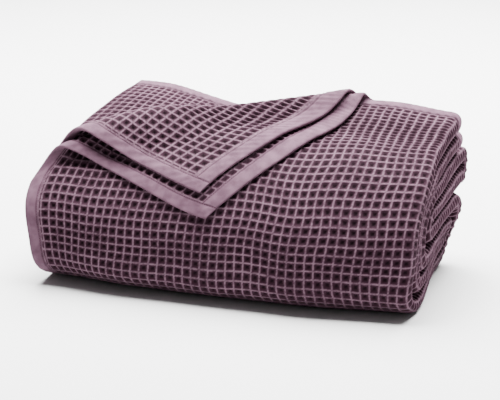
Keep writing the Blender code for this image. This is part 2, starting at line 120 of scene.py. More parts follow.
# soft unevenness: turns a metre along x, y and z, then how far it moves the cloth in x, y and z
RIPPLES = ((3.1, 1.0, 4.0, 0.0000, 0.0006, 0.0012),
           (7.3, -2.0, 3.0, 0.0000, 0.0004, 0.0006),
           (1.7, 3.5, 9.0, 0.0010, 0.0000, 0.0000),
           (4.0, 6.1, -5.0, 0.0006, 0.0006, 0.0003))
RIPPLE_PHASE = 1.7             # between one wave of the unevenness and the next
PRESS_HEIGHT = 0.0010          # under which the cloth is pressed flat
FLOOR_REACH = 0.03             # height over which the unevenness grows from nothing at the floor

COLUMNS = 178                  # waffle cells across the blanket, and along it
ROWS = 203
RIDGE_LEVEL = 0.0023           # of the ridges and of the pits' floors, out from the middle of the cloth
PIT_LEVEL = -0.0017
PLAIN_LEVEL = 0.0021           # of a face that isn't seen, whose waffle is only in its material
RIDGE_SHARPNESS = 2.0
RIDGE_START = (0.001, 0.003)   # in from a tape, where the pits begin and where they are in full
RISE_START = (-0.0005, 0.003)  # and where the cloth begins to swell, and has its full thickness
STRAY_START = 0.02             # and where its lines stray in full
CELL_WOBBLE = 0.045            # how far, in cells, a line of ridges strays
# the sines it strays by: share, radians a metre, start, how far a slower sine bends it, its radians a metre
STRAY_ACROSS = ((1.00, 83.0, 0.0, 2.0, 31.0), (0.35, 390.0, 0.0, 3.0, 120.0))
STRAY_ALONG = ((1.00, 61.0, 1.0, 0.0, 0.0), (0.35, 310.0, 0.0, 3.0, 97.0))
PLAIN_RELIEF = 2.0             # marks, in the relief attribute, a face whose waffle is only in its material
CLOTH_SHARP = math.radians(75)     # the angle from which an edge is drawn sharp
TAPE_SHARP = math.radians(50)

TAPE_STEP = 0.0025             # between the sections of a tape
TAPE_BEND_STEP = 0.0011        # and where it goes round a tight fold
TAPE_BEND_MARGIN = 0.0005      # least distance from an even section to the first of a fold's own
TAPE_OUTER = CLOTH_THICKNESS_IN_BINDING / 2 + SEWN_GAP + TAPE_THICKNESS     # half the bound edge's thickness
TAPE_INNER = CLOTH_THICKNESS_IN_BINDING / 2 + SEWN_GAP
# the section at the hem: in from it, above the outer face, share of swell and puckers that it follows
TAPE_HEM = ((0.0000, -0.0005, 0.3), (0.0001, -0.0001, 0.6), (0.0006, 0.0001, 1.0))
# between hem and fold, on the outer face: inset as a share of the width
TAPE_SHARES = (0.92, 0.84, 0.76, 0.64, 0.52, 0.40, 0.28, 0.16, 0.08)
# round the fold: inset, height as a share of the outer face's, share of swell and puckers again
TAPE_FOLD = ((0.0010, 0.90, 0.7), (0.0003, 0.62, 0.3), (0.0, 0.0, 0.0))
PUFF = 0.0006                  # how far the tape swells in the middle of its width
PUFF_POWER = 0.7               # of the sine that it swells by
PUCKER = 0.0007                # height of the slanting waves that the seam draws the tape into
PUCKER_PITCH = 0.016
PUCKER_SLANT = 1.1             # pitches that a pucker leans over the tape's width
PUCKER_DRIFT = (0.8, 0.037)    # pitches that the puckers come early or late, and over what length
PUCKER_STRENGTH = (0.45, 0.55, 0.071)      # least, what is added at most, and over what length
PUCKER_AT_FOLD = 0.3           # share of a pucker that is left at the fold
SEAM_HOLD = 0.9                # share of the swell and the puckers that the stitches press down
SEAM_DEPTH = 0.0005            # how deep the stitches pull the tape in
SEAM_WIDTH = 0.0009            # from the stitches to where their pull has fallen to a little over a third
STITCH_INSET = 0.0184          # of the seam from the fold of the tape
STITCH_PITCH = 0.0034
STITCH_LENGTH = 0.0024
STITCH_WIDTH = 0.0007
STITCH_HEIGHT = 0.0004         # from the middle of a stitch to its top
STITCH_PROUD = 0.3             # share of that height that its middle stands above the seam
EDGE_WAVE = 0.0004             # how far the tape's sewn edge strays
EDGE_WAVE_LENGTH = 0.019       # over which the straying goes through one radian
EDGE_WAVE_START = 0.6          # share of the width from which it grows
BUTT = BINDING_WIDTH + SEWN_GAP    # in from a side edge, where an end's tape stops at the side's

RIDGE_LIGHT = (0.175, 0.101, 0.136)      # colours of the cotton: ridges light and dark by random tone; slopes and pits darkened as painted shade
RIDGE_DARK = (0.060, 0.031, 0.045)
# painted shade: the slope and pit colours are darkened for the shade that falls into the waffle's hollows
SLOPE_SHADE_COLOUR = (0.026, 0.0102, 0.0172)
PIT_SHADE_COLOUR = (0.005, 0.0015, 0.0030)
RIDGE_RANGE = (0.74, 1.00)               # of the relief, over which a slope's painted shade turns to a ridge's colour
PIT_RANGE = (0.00, 0.60)                 # and a pit's deeper painted shade to a slope's
SEAM_COLOUR = (0.040, 0.018, 0.028)
SHEEN_COLOUR = (0.75, 0.42, 0.60)
SHEEN_ROUGHNESS = 0.5
SPECULAR_LEVEL = 0.06
TAPE_LIGHT = (0.122, 0.066, 0.094)
TAPE_DARK = (0.078, 0.040, 0.059)
FIBRE_SCALE = 260                        # of the noise that parts the fibres
PATCH_SCALE = 28                         # and of the one that fades the cloth in patches
TAPE_PATCH_SCALE = 60
FIBRE_SHARE = 0.7
MOTTLE_RANGE = (0.30, 0.70)              # of the noises, over which dark turns to light

FLOOR_SIZE = 14
FLOOR_GAP = 0.0004             # between the blanket and the floor
FLOOR_COLOUR = (0.66, 0.66, 0.66)
SURROUND_STRENGTH = 0.22
LIGHT_PLACE = (-0.3, 1.2, 2.6)
LIGHT_AIM = (0, 0.1, 0.1)
LIGHT_SIZE = 3.0
LIGHT_POWER = 1200

CAMERA_AZIMUTH = math.radians(20)
CAMERA_ELEVATION = math.radians(15.5)
CAMERA_DISTANCE = 2.62
CAMERA_TARGET = (0.0045, -0.0253, 0.1065)
FOCAL_PIXELS = 1800            # on the photograph's 500 pixels of width
PHOTO_WIDTH = 500
VIEW_END = 30                  # beyond which the camera sees nothing


# ---- curves and easing ----------------------------------------------------------------

def hermite(rows, value):
    """Read a smooth curve through (place, amount) rows: a cubic between each two, with central slopes."""
    at = np.array([row[0] for row in rows], dtype=float)
    amount = np.array([row[1] for row in rows], dtype=float)
    slope = np.gradient(amount, at)
    value = np.clip(value, at[0], at[-1])
    i = np.clip(np.searchsorted(at, value, side="right") - 1, 0, len(at) - 2)
    width = at[i + 1] - at[i]
    t = (value - at[i]) / width
    return ((2 * t**3 - 3 * t**2 + 1) * amount[i] + (t**3 - 2 * t**2 + t) * width * slope[i]
            + (3 * t**2 - 2 * t**3) * amount[i + 1] + (t**3 - t**2) * width * slope[i + 1])


def ease(value, start, end):
    """Go smoothly from 0 at start to 1 at end: 3t squared less 2t cubed."""
    t = np.clip((value - start) / (end - start), 0.0, 1.0)
    return t * t * (3 - 2 * t)


def skewed(near, far, rise, fall):
    """A bump: near to the power rise times far to the power fall, scaled to 1 at its highest."""
    top = rise / (rise + fall)
    return near**rise * far**fall / (top**rise * (1 - top)**fall)


class Path:
    """A plane curve of straight runs and arcs, given as (length, turn) steps and read by its length."""

    def __init__(self, start, heading, steps):
        self.steps = steps
        self.starts = [0.0]
        self.points = [np.array(start, dtype=float)]
        self.headings = [heading]
        for length, turn in steps:
            point, angle = self._advance(self.points[-1], self.headings[-1], length, turn, length)
            self.points.append(point)
            self.headings.append(angle)
            self.starts.append(self.starts[-1] + length)
        self.length = self.starts[-1]

    @staticmethod
    def _advance(point, heading, length, turn, run):
        """A step along an arc: the heading turns evenly, and the place is its integral."""
        bend = turn / length
        angle = heading + bend * run
        if turn == 0:
            move = np.stack([run * np.cos(heading), run * np.sin(heading)], axis=-1)
        else:
            move = np.stack([np.sin(angle) - np.sin(heading), np.cos(heading) - np.cos(angle)], axis=-1)
            move = move / bend
        return point + move, angle

    def offset(self, run, out):
        """Points at a distance out to the right-hand side of the path, at each run along it."""
        point = np.zeros(run.shape + (2,))
        heading = np.zeros(run.shape)
        last = len(self.steps) - 1
        for i, (length, turn) in enumerate(self.steps):
            low = -np.inf if i == 0 else self.starts[i]
            high = np.inf if i == last else self.starts[i + 1]
            here = (run >= low) & (run < high)
            beyond = run[here] - self.starts[i]
            step = self._advance(self.points[i], self.headings[i], length, turn, beyond)
            point[here], heading[here] = step
        point[..., 0] += out * np.sin(heading)
        point[..., 1] -= out * np.cos(heading)
        return point


# ---- fold 1: the strip of four plies ------------------------------------------------------

OUTER_PLY_LEVEL = 1.5 * PLY_PITCH
INNER_PLY_LEVEL = 0.5 * PLY_PITCH
HALF_STRIP = OUTER_PLY_LEVEL + CLOTH_THICKNESS / 2
RIGHT_BEND = BUNDLE_LENGTH - HALF_STRIP
LEFT_BEND = CENTRE_FOLD_INSET + INNER_PLY_LEVEL + CLOTH_THICKNESS / 2


def strip_path():
    """The section across the strip, in (x, level): plies B, C, D and A in the order of u."""
    inner_bend = math.pi * INNER_PLY_LEVEL
    return Path((0.0, INNER_PLY_LEVEL), 0.0, [
        (RIGHT_BEND, 0.0),
        (inner_bend, -math.pi),
        (RIGHT_BEND - LEFT_BEND, 0.0),
        (inner_bend, math.pi),
        (RIGHT_BEND - LEFT_BEND, 0.0),
        (math.pi * OUTER_PLY_LEVEL, math.pi),
        (RIGHT_BEND, 0.0),
    ])


# ---- fold 2: the section of eight limbs -----------------------------------------------------

LIMBS = 8
LEVEL = [HALF_STRIP + i * STRIP_PITCH for i in range(LIMBS)]
LOOP_FLARE = math.acos((LOOP_RADIUS + STRIP_PITCH / 2) / (2 * LOOP_RADIUS))


def front(inward, going_down):
    """One front bend, counted from the outside in: a wide shoulder, a plain front and a tighter foot."""
    _, shoulder, foot = FRONT_BENDS[inward]
    plain = LEVEL[LIMBS - 1 - inward] - LEVEL[inward] - shoulder - foot
    turn = math.pi / 2 if going_down else -math.pi / 2
    bend = [(math.pi / 2 * shoulder, turn), (math.pi / 2 * foot, turn)]
    if plain > SHORTEST_RUN:
        bend.insert(1, (plain, 0.0))
    return bend if going_down else bend[::-1]


def limb(inward, depth, upper):
    """One straight limb, from its front bend to a depth."""
    nose, shoulder, foot = FRONT_BENDS[inward]
    return [(depth - nose - (shoulder if upper else foot), 0.0)]


def section_path():
    """The section along the strip, in (y, z), from the top free end to the second free end."""
    outer_radius = (LEVEL[3] - LEVEL[0]) / 2
    inner_radius = STRIP_PITCH / 2
    outer_fold = OUTER_FOLD_DEPTH - HALF_STRIP - outer_radius
    inner_fold = INNER_FOLD_DEPTH - HALF_STRIP - inner_radius
    upper_loop = UPPER_LOOP_DEPTH - HALF_STRIP - LOOP_RADIUS - 2 * LOOP_RADIUS * math.sin(LOOP_FLARE)
    flare = [(LOOP_RADIUS * LOOP_FLARE, -LOOP_FLARE)]
    loop_turn = math.pi + 2 * LOOP_FLARE
    steps = limb(0, FIRST_END_DEPTH, True) + front(0, True) + limb(0, outer_fold, False)
    steps += [(math.pi * outer_radius, math.pi)]
    steps += limb(3, outer_fold, False) + front(3, False) + limb(3, upper_loop, True)
    steps += flare + [(LOOP_RADIUS * loop_turn, loop_turn)] + flare
    steps += limb(2, upper_loop, True) + front(2, True) + limb(2, inner_fold, False)
    steps += [(math.pi * inner_radius, -math.pi)]
    steps += limb(1, inner_fold, False) + front(1, False) + limb(1, SECOND_END_DEPTH, True)
    return Path((FIRST_END_DEPTH, LEVEL[-1]), math.pi, steps)


STRIP = strip_path()
SECTION = section_path()
SHEET_WIDTH = STRIP.length
SHEET_LENGTH = SECTION.length
PLY_B_END = STRIP.starts[1]
PLY_A_START = STRIP.starts[-2]
COLUMN_PITCH = SHEET_WIDTH / COLUMNS
ROW_PITCH = SHEET_LENGTH / ROWS

# ---- fold 3: the turned-back corners ----------------------------------------------------------

CREASE_SPAN = math.hypot(CREASE_LEFT, CREASE_BACK)
CREASE_NORMAL = (CREASE_LEFT / CREASE_SPAN, CREASE_BACK / CREASE_SPAN)
CREASE_OFFSET = CREASE_LEFT * CREASE_BACK / CREASE_SPAN
CREASE_SLIP = (CORNER_SHIFT[0] * CREASE_NORMAL[1] - CORNER_SHIFT[1] * CREASE_NORMAL[0]) / CREASE_OFFSET
CREASE_GATHER = 1 - (CORNER_SHIFT[0] * CREASE_NORMAL[0] + CORNER_SHIFT[1] * CREASE_NORMAL[1]) / CREASE_OFFSET


def roll_section(beyond, radius, rest):
    """The section square to the crease: an arc past flat, a slope down and an arc back to level at rest."""
    turn = math.pi + OVER_TURN
    sin_over, cos_over = math.sin(OVER_TURN), math.cos(OVER_TURN)
    roll_end = radius * turn
    slope = (radius * (1 + cos_over) - rest - SETTLE_RADIUS * (1 - cos_over)) / sin_over
    slope = np.maximum(slope, SHORTEST_RUN)
    slope_end = roll_end + slope
    settle_end = slope_end + SETTLE_RADIUS * OVER_TURN

    angle = np.minimum(beyond, roll_end) / radius
    place = radius * np.sin(angle)
    height = radius * (1 - np.cos(angle))
    down = np.clip(beyond - roll_end, 0, slope)
    place -= down * cos_over
    height -= down * sin_over
    bend = np.clip(beyond - slope_end, 0, SETTLE_RADIUS * OVER_TURN) / SETTLE_RADIUS
    heading = angle - bend
    place -= SETTLE_RADIUS * (sin_over - np.sin(OVER_TURN - bend))
    height -= SETTLE_RADIUS * (np.cos(OVER_TURN - bend) - cos_over)
    place -= np.maximum(beyond - settle_end, 0)
    return place, height, heading


def turn_back(x, s, level, ply_level, rolls, rest, side_bow, end_bow):
    """Turn over what lies beyond the crease: its distance from the crease is its way along roll_section."""
    normal_x, normal_s = CREASE_NORMAL
    from_side = np.clip(x / CREASE_BACK, 0, 1)
    from_end = np.clip(s / CREASE_LEFT, 0, 1)
    to_crease = np.clip(1 - from_side - from_end, 0, 1)
    back = side_bow * skewed(from_end, to_crease, *SIDE_BOW_POWERS) * (1 - ease(from_side, 0, BOW_REACH))
    right = end_bow * skewed(from_side, to_crease, *END_BOW_POWERS) * (1 - ease(from_end, 0, BOW_REACH))
    beyond = CREASE_OFFSET - (x * normal_x + s * normal_s)
    foot_x = x + beyond * normal_x + CREASE_SLIP * beyond * normal_s
    foot_s = s + beyond * normal_s - CREASE_SLIP * beyond * normal_x
    beyond = beyond * CREASE_GATHER
    along = foot_x * normal_s + (CREASE_LEFT - foot_s) * normal_x
    place, height, heading = roll_section(np.maximum(beyond, 0), hermite(rolls, along), rest)
    out = level - ply_level
    place = place - out * np.sin(heading)
    height = height + out * np.cos(heading)
    turned = beyond > 0
    x = np.where(turned, foot_x - place * normal_x + right, x)
    s = np.where(turned, foot_s - place * normal_s - back, s)
    level = np.where(turned, ply_level + height, level)
    return x, s, level


def settle(x, y, z):
    """Let the regular bundle sink, lean and slip, by amounts from smooth tables, eased over their ranges."""
    scale = hermite(HEIGHT_BY_DEPTH, y) + hermite(FRONT_SINK, x) * (1 - ease(y, *SINK_RANGE))
    left = 1 - ease(x, *SLIP_RANGE)
    slip = BACK_SLIP * left * np.clip(y / FIRST_END_DEPTH, 0, SLIP_LIMIT)
    rise = BACK_CORNER_RISE * left * ease(z, *RISE_HEIGHTS) * ease(y, *RISE_RANGE)
    curl_along = ease(x, *CURL_RANGE) * (1 - ease(x, *CURL_END_RANGE))
    curl = curl_along * ease(y, *CURL_DEPTHS) * ease(z, *CURL_HEIGHTS)
    lean = hermite(LEAN_BY_HEIGHT, z) * (1 - ease(y, *LEAN_RANGE))
    inset = BACK_INSET * np.clip(1 - x / BUNDLE_LENGTH, 0, 1)**2 * ease(y, *INSET_RANGE)
    left_foot = (1 - ease(x, *LEFT_FOOT_RANGE)) * (1 - ease(z, *LEFT_FOOT_HEIGHTS))
    right_end = ease(x, *RIGHT_FOOT_RANGE)
    right_foot = right_end * (1 - ease(z, *RIGHT_FOOT_HEIGHTS)) * ease(y, *RIGHT_FOOT_DEPTHS)
    front_share = 1 - ease(y, *FRONT_FOOT_RANGE)
    new_x = x + inset + FOOT_INSET * (left_foot - right_foot)
    new_y = y + lean + slip + FOOT_INSET * front_share * (right_end + LEFT_FRONT_SHARE * left_foot)
    new_z = z * scale + rise + END_CURL * curl
    return new_x, new_y, new_z


def ripple(place):
    """Move the cloth by a few crossing sine waves through space, which die away at the floor."""
    moved = place.copy()
    for i, (turns_x, turns_y, turns_z, *amount) in enumerate(RIPPLES):
        wave = np.sin(2 * math.pi * (place @ np.array((turns_x, turns_y, turns_z))) + RIPPLE_PHASE * i)
        moved += wave[:, None] * np.array(amount)
    free = ease(place[:, 2:3], 0.0, FLOOR_REACH)
    return place + (moved - place) * free


def fold(flat):
    """Carry sheet coordinates (u, v, h) through the three folds, the settling and the unevenness.

    u and h are read off the strip's path, the corners are turned back, then v and the strip's level are
    read off the section's path, and the regular bundle that this gives settles.
    The lowest cloth is pressed flat on the floor: heights under the press height shrink as an exponential.
    """
    u, v, h = flat[:, 0], flat[:, 1], flat[:, 2]
    across = STRIP.offset(u, h)
    x, level = across[:, 0], across[:, 1]
    s = v.copy()
    for here, *how in (
            (u > PLY_A_START, OUTER_PLY_LEVEL, LOWER_ROLL, REST_LIFT, SIDE_BOW[0], END_BOW[0]),
            (u < PLY_B_END, INNER_PLY_LEVEL, UPPER_ROLL, UPPER_REST_LIFT, SIDE_BOW[1], END_BOW[1])):
        here = here & (v < CREASE_LEFT)
        x[here], s[here], level[here] = turn_back(x[here], s[here], level[here], *how)
    section = SECTION.offset(s, level)
    x, y, z = settle(x, section[:, 0], section[:, 1])
    place = ripple(np.stack([x - MIDDLE[0], y - MIDDLE[1], z], axis=1))
    pressed = PRESS_HEIGHT * np.exp(np.minimum(place[:, 2] / PRESS_HEIGHT - 1, 0))
    place[:, 2] = np.where(place[:, 2] < PRESS_HEIGHT, pressed, place[:, 2])
    return place


# ---- the waffle ---------------------------------------------------------------------------------

def edge_inset(u, v):
    """Distance from the nearest edge of the blanket."""
    return np.minimum(np.minimum(u, SHEET_WIDTH - u), np.minimum(v, SHEET_LENGTH - v))


def ridges(u, v, side):
    """How high the waffle stands, from 0 in a pit to 1 on a ridge.

    Each line of ridges is a power of the cosine across it, the higher of the two sets counts, and
    the lines on the other side of the cloth (side -1) lie half a cell away. No pit is left beside a tape.
    """
    shift = 0.0 if side > 0 else 0.5
    across = np.abs(np.cos(math.pi * (u / COLUMN_PITCH + shift)))**RIDGE_SHARPNESS
    along = np.abs(np.cos(math.pi * (v / ROW_PITCH + shift)))**RIDGE_SHARPNESS
    beside_tape = 1 - ease(edge_inset(u, v) - BINDING_WIDTH, *RIDGE_START)
    return np.maximum(np.maximum(across, along), beside_tape)


def sines(rows, along, across):
    """Add sines of one coordinate up, each bent by a slower sine of the other."""
    return sum(share * np.sin(rate * along + start + bend * np.sin(bend_rate * across))
               for share, rate, start, bend, bend_rate in rows)


def stray(u, v):
    """Move points a little in the cloth's plane, by slow and quick sines: no line of ridges is straight."""
    free = CELL_WOBBLE * ease(edge_inset(u, v) - BINDING_WIDTH, 0, STRAY_START)
    return (u + COLUMN_PITCH * free * sines(STRAY_ACROSS, v, u),
            v + ROW_PITCH * free * sines(STRAY_ALONG, u, v))


def cloth_level(u, v, side, waffle):
    """Height of a face of the cloth: its waffle, dying away to the pressed edge inside the binding."""
    free = ease(edge_inset(u, v) - BINDING_WIDTH, *RISE_START)
    pressed = CLOTH_THICKNESS_IN_BINDING / 2
    return side * (pressed + (waffle - pressed) * free)


# ---- meshes ---------------------------------------------------------------------------------------

def make_piece(name, places, uv, relief, polygons, material, sharp):
    """Make an object of places and polygons: arrays with a row of corner numbers for each polygon."""
    corners = np.concatenate([group.ravel() for group in polygons])
    sizes = np.concatenate([np.full(len(group), group.shape[1]) for group in polygons])
    starts = np.concatenate([[0], np.cumsum(sizes)[:-1]])
    mesh = bpy.data.meshes.new(name)
    mesh.vertices.add(len(places))
    mesh.vertices.foreach_set("co", places.astype(np.float32).ravel())
    mesh.loops.add(len(corners))
    mesh.loops.foreach_set("vertex_index", corners.astype(np.int32))
    mesh.polygons.add(len(sizes))
    mesh.polygons.foreach_set("loop_start", starts.astype(np.int32))
    mesh.update(calc_edges=True)
    layer = mesh.uv_layers.new(name="sheet")
    layer.data.foreach_set("uv", uv[corners].astype(np.float32).ravel())
    height = mesh.attributes.new("relief", "FLOAT", "POINT")
    height.data.foreach_set("value", relief.astype(np.float32))
    mesh.shade_smooth()
    mesh.set_sharp_from_angle(angle=sharp)
    mesh.materials.append(material)
    piece = bpy.data.objects.new(name, mesh)
    bpy.context.scene.collection.objects.link(piece)
    return piece


def grid_faces(numbers):
    """The quads of a grid of numbered points."""
    corners = (numbers[:-1, :-1], numbers[1:, :-1], numbers[1:, 1:], numbers[:-1, 1:])
    return np.stack([corner.ravel() for corner in corners], axis=1)


def wall_faces(fine, coarse, every):
    """The faces between a fine border and a coarse one that has a point at every so many of its points."""
    start = np.arange(len(coarse) - 1)
    low = np.stack([coarse[start], coarse[start + 1]], axis=1)
    high = np.stack([fine[start * every + k] for k in range(every, -1, -1)], axis=1)
    return np.concatenate([low, high], axis=1)


def lines(segments, pitch, size):
    """Places of the grid lines, from (from cell, to cell, lines a cell) rows, kept inside the cut edge."""
    places = [np.linspace(start, end, round((end - start) * density) + 1)[:-1]
              for start, end, density in segments]
    places.append(np.array([segments[-1][1]], dtype=float))
    return np.clip(np.concatenate(places) * pitch, CLOTH_EDGE_INSET, size - CLOTH_EDGE_INSET)


# the edges of a grid, and whether the wall's faces are turned round there
EDGES = ((np.s_[:, 0], False), (np.s_[:, -1], True), (np.s_[0, :], True), (np.s_[-1, :], False))


def cloth_face(us, vs, side, is_plain):
    """One face of a slab: its flat points, its relief and its sheet coordinates."""
    u, v = np.meshgrid(us, vs, indexing="ij")
    if is_plain:
        relief = np.full(u.shape, PLAIN_RELIEF)
        waffle = np.full(u.shape, PLAIN_LEVEL)
    else:
        relief = ridges(u, v, side)
        waffle = PIT_LEVEL + (RIDGE_LEVEL - PIT_LEVEL) * relief
    flat = np.stack([*stray(u, v), cloth_level(u, v, side, waffle)], axis=-1)
    return flat.reshape(-1, 3), relief.ravel(), np.stack([u, v], axis=-1).reshape(-1, 2)


def cloth_piece(name, columns, rows, waffled, material):
    """A closed slab of cloth: two folded grids, in front and behind, with a wall round them.

    columns and rows are (from cell, to cell, lines a cell) rows. waffled says how many of the faces have
    their ridges in the mesh. When only the front one has, the back one takes one line a cell.
    """
    us = lines(columns, COLUMN_PITCH, SHEET_WIDTH)
    vs = lines(rows, ROW_PITCH, SHEET_LENGTH)
    every = columns[0][2] if waffled == 1 else 1
    fine = np.arange(len(us) * len(vs)).reshape(len(us), len(vs))
    back_us, back_vs = us[::every], vs[::every]
    coarse = fine.size + np.arange(len(back_us) * len(back_vs)).reshape(len(back_us), len(back_vs))
    polygons = [grid_faces(fine), grid_faces(coarse)[:, ::-1]]
    for edge, is_turned in EDGES:
        wall = wall_faces(fine[edge], coarse[edge], every)
        polygons.append(wall[:, ::-1] if is_turned else wall)
    front_face = cloth_face(us, vs, 1, waffled == 0)
    back_face = cloth_face(back_us, back_vs, -1, waffled < 2)
    flat, relief, uv = (np.concatenate(parts) for parts in zip(front_face, back_face))
    return make_piece(name, fold(flat), uv, relief, polygons, material, CLOTH_SHARP)


# ---- the tape -----------------------------------------------------------------------------------

def tape_profile():
    """The tape's section, as (inset, height, soft) rows: over the top, round the fold and back inside."""
    hem = [(BINDING_WIDTH - inset, TAPE_OUTER + above, soft) for inset, above, soft in TAPE_HEM]
    middle = [(BINDING_WIDTH * share, TAPE_OUTER, 1.0) for share in TAPE_SHARES]
    round_fold = [(inset, TAPE_OUTER * share, soft) for inset, share, soft in TAPE_FOLD]
    upper = hem + middle + round_fold
    lower = [(inset, -height, soft) for inset, height, soft in reversed(upper[:-1])]
    inside = [(BINDING_WIDTH, -TAPE_INNER, 0.0), (FOLD_THICKNESS, -TAPE_INNER, 0.0),
              (FOLD_THICKNESS, TAPE_INNER, 0.0), (BINDING_WIDTH, TAPE_INNER, 0.0)]
    return np.array(upper + lower + inside)


def seam_share(inset):
    """How much of the seam's pull is felt: 1 under the stitches, less on both sides by a bell curve."""
    return np.exp(-((inset - STITCH_INSET) / SEAM_WIDTH)**2)


def tape_level(run, inset, height, soft, phase):
    """Height of the tape's face.

    Across the width it swells by a power of a sine. Along the run it waves by a sine, whose start drifts
    and slants with the inset and whose strength comes and goes. The seam's bell curve presses both down.
    """
    share = np.clip(inset / BINDING_WIDTH, 0, 1)
    swell = PUFF * np.sin(math.pi * share)**PUFF_POWER
    drift, drift_length = PUCKER_DRIFT
    slant = run / PUCKER_PITCH + PUCKER_SLANT * share + drift * np.sin(run / drift_length + phase)
    least, more, more_length = PUCKER_STRENGTH
    strength = least + more * np.sin(run / more_length + phase)**2
    over_width = PUCKER_AT_FOLD + (1 - PUCKER_AT_FOLD) * share
    wave = PUCKER * strength * np.sin(2 * math.pi * slant + phase) * over_width
    pulled = seam_share(inset)
    out = (swell + wave) * (1 - SEAM_HOLD * pulled) - SEAM_DEPTH * pulled
    return height + np.sign(height) * soft * out


def sheet_place(run, inset, height, along_length, far_side):
    """Sheet coordinates of a point of a binding, from its run along the edge and its inset from it."""
    if along_length:
        return np.stack([SHEET_WIDTH - inset if far_side else inset, run, height], axis=-1)
    return np.stack([run, SHEET_LENGTH - inset if far_side else inset, height], axis=-1)


def tape_runs(start, end, along_length):
    """Where the tape's sections lie: evenly, but closer together round the folds across the blanket."""
    runs = np.linspace(start, end, round((end - start) / TAPE_STEP) + 1)
    for i, (_, turn) in enumerate(STRIP.steps):
        if along_length or turn == 0:
            continue
        low, high = STRIP.starts[i], STRIP.starts[i + 1]
        extra = np.linspace(low, high, round((high - low) / TAPE_BEND_STEP) + 1)
        clear = (runs < low - TAPE_BEND_MARGIN) | (runs > high + TAPE_BEND_MARGIN)
        runs = np.concatenate([runs[clear], extra])
    return np.sort(runs)


def stitch_rows(start, end, along_length, far_side, phase):
    """A row of stitches along the seam on each face: six-cornered beads, pointed along the seam."""
    middle = np.arange(start + STITCH_PITCH, end - STITCH_PITCH, STITCH_PITCH)
    bead = np.array([(-1, 0, 0), (1, 0, 0), (0, -1, 0), (0, 1, 0), (0, 0, 1), (0, 0, -1)])
    bead = bead * (STITCH_LENGTH / 2, STITCH_WIDTH / 2, STITCH_HEIGHT)
    bead_faces = np.array([(0, 2, 4), (2, 1, 4), (1, 3, 4), (3, 0, 4),
                           (2, 0, 5), (1, 2, 5), (3, 1, 5), (0, 3, 5)])
    flats = []
    for side in (1, -1):
        run = middle[:, None] + bead[:, 0]
        inset = np.full(run.shape, STITCH_INSET)
        seam = tape_level(run, inset, np.full(run.shape, side * TAPE_OUTER), 1.0, phase)
        height = seam + bead[:, 2] + side * STITCH_PROUD * STITCH_HEIGHT
        flats.append(sheet_place(run, inset + bead[:, 1], height, along_length, far_side))
    flat = np.concatenate(flats).reshape(-1, 3)
    first = np.arange(0, len(flat), len(bead))
    return flat, (first[:, None, None] + bead_faces).reshape(-1, 3)


def tape_piece(name, start, end, along_length, far_side, phase, material):
    """A tape folded over an edge: its section carried along the edge, puckered, and closed at both ends."""
    profile = tape_profile()
    runs = tape_runs(start, end, along_length)
    run, inset = np.meshgrid(runs, profile[:, 0], indexing="ij")
    height = np.broadcast_to(profile[:, 1], run.shape)
    soft = np.broadcast_to(profile[:, 2], run.shape)
    at_edge = ease(inset, EDGE_WAVE_START * BINDING_WIDTH, BINDING_WIDTH)
    edge_wave = EDGE_WAVE * np.sin(run / EDGE_WAVE_LENGTH + phase) * at_edge
    level = tape_level(run, inset, height, soft, phase)
    flat = sheet_place(run, inset + edge_wave, level, along_length, far_side).reshape(-1, 3)
    count, around = run.shape
    i, j = np.meshgrid(np.arange(count - 1), np.arange(around), indexing="ij")
    here, beside = i * around + j, i * around + (j + 1) % around
    sides = np.stack([here, beside, beside + around, here + around], axis=-1).reshape(-1, 4)
    first = np.arange(around)[None, ::-1]
    last = first[:, ::-1] + (count - 1) * around
    stitches, stitch_faces = stitch_rows(start, end, along_length, far_side, phase)
    polygons = [sides, first, last, stitch_faces + len(flat)]
    if along_length == far_side:
        polygons = [group[:, ::-1] for group in polygons]
    uv = np.stack([run, inset], axis=-1).reshape(-1, 2)
    uv = np.concatenate([uv, stitches[:, [1, 0]] if along_length else stitches[:, :2]])
    relief = 1 - seam_share(inset).ravel() * (soft.ravel() > 0)
    relief = np.concatenate([relief, np.ones(len(stitches))])
    places = fold(np.concatenate([flat, stitches]))
    return make_piece(name, places, uv, relief, polygons, material, TAPE_SHARP)


# ---- materials ----------------------------------------------------------------------------------

def cotton(name, roughness, sheen):
    """A new cotton material, as itself, its nodes, its links and its shader, whose plain values are set."""
    material = bpy.data.materials.new(name)
    material.use_nodes = True
    nodes, links = material.node_tree.nodes, material.node_tree.links
    shader = nodes["Principled BSDF"]
    shader.inputs["Roughness"].default_value = roughness
    shader.inputs["Sheen Weight"].default_value = sheen
    shader.inputs["Sheen Roughness"].default_value = SHEEN_ROUGHNESS
    shader.inputs["Sheen Tint"].default_value = (*SHEEN_COLOUR, 1)
    shader.inputs["Specular IOR Level"].default_value = SPECULAR_LEVEL
    return material, nodes, links, shader


def feed(links, socket, value):
    """Give an input of a material what it reads: another one's output, a colour or a number."""
    if isinstance(value, bpy.types.NodeSocket):
        links.new(value, socket)
    elif isinstance(value, tuple):
        socket.default_value = (*value, 1)
    else:
        socket.default_value = value


def mixed(nodes, links, kind, factor, low, high):
    """Mix two colours (kind "RGBA") or numbers ("FLOAT") by a factor."""
    mix = nodes.new("ShaderNodeMix")
    mix.data_type = kind
    feed(links, mix.inputs["Factor"], factor)
    feed(links, mix.inputs["A"], low)
    feed(links, mix.inputs["B"], high)
    return mix.outputs["Result"]


def threads(nodes, links, vector, axis, scale, distortion):
    """Even threads across one axis of the sheet."""
    wave = nodes.new("ShaderNodeTexWave")
    wave.bands_direction = axis
    wave.inputs["Scale"].default_value = scale
    wave.inputs["Distortion"].default_value = distortion
    wave.inputs["Detail"].default_value = 2
    links.new(vector, wave.inputs["Vector"])
    return wave.outputs["Fac"]


def number(nodes, links, operation, *values):
    """Reckon with a material's outputs and plain numbers."""
    node = nodes.new("ShaderNodeMath")
    node.operation = operation
    for socket, value in zip(node.inputs, values):
        feed(links, socket, value)
    return node.outputs["Value"]


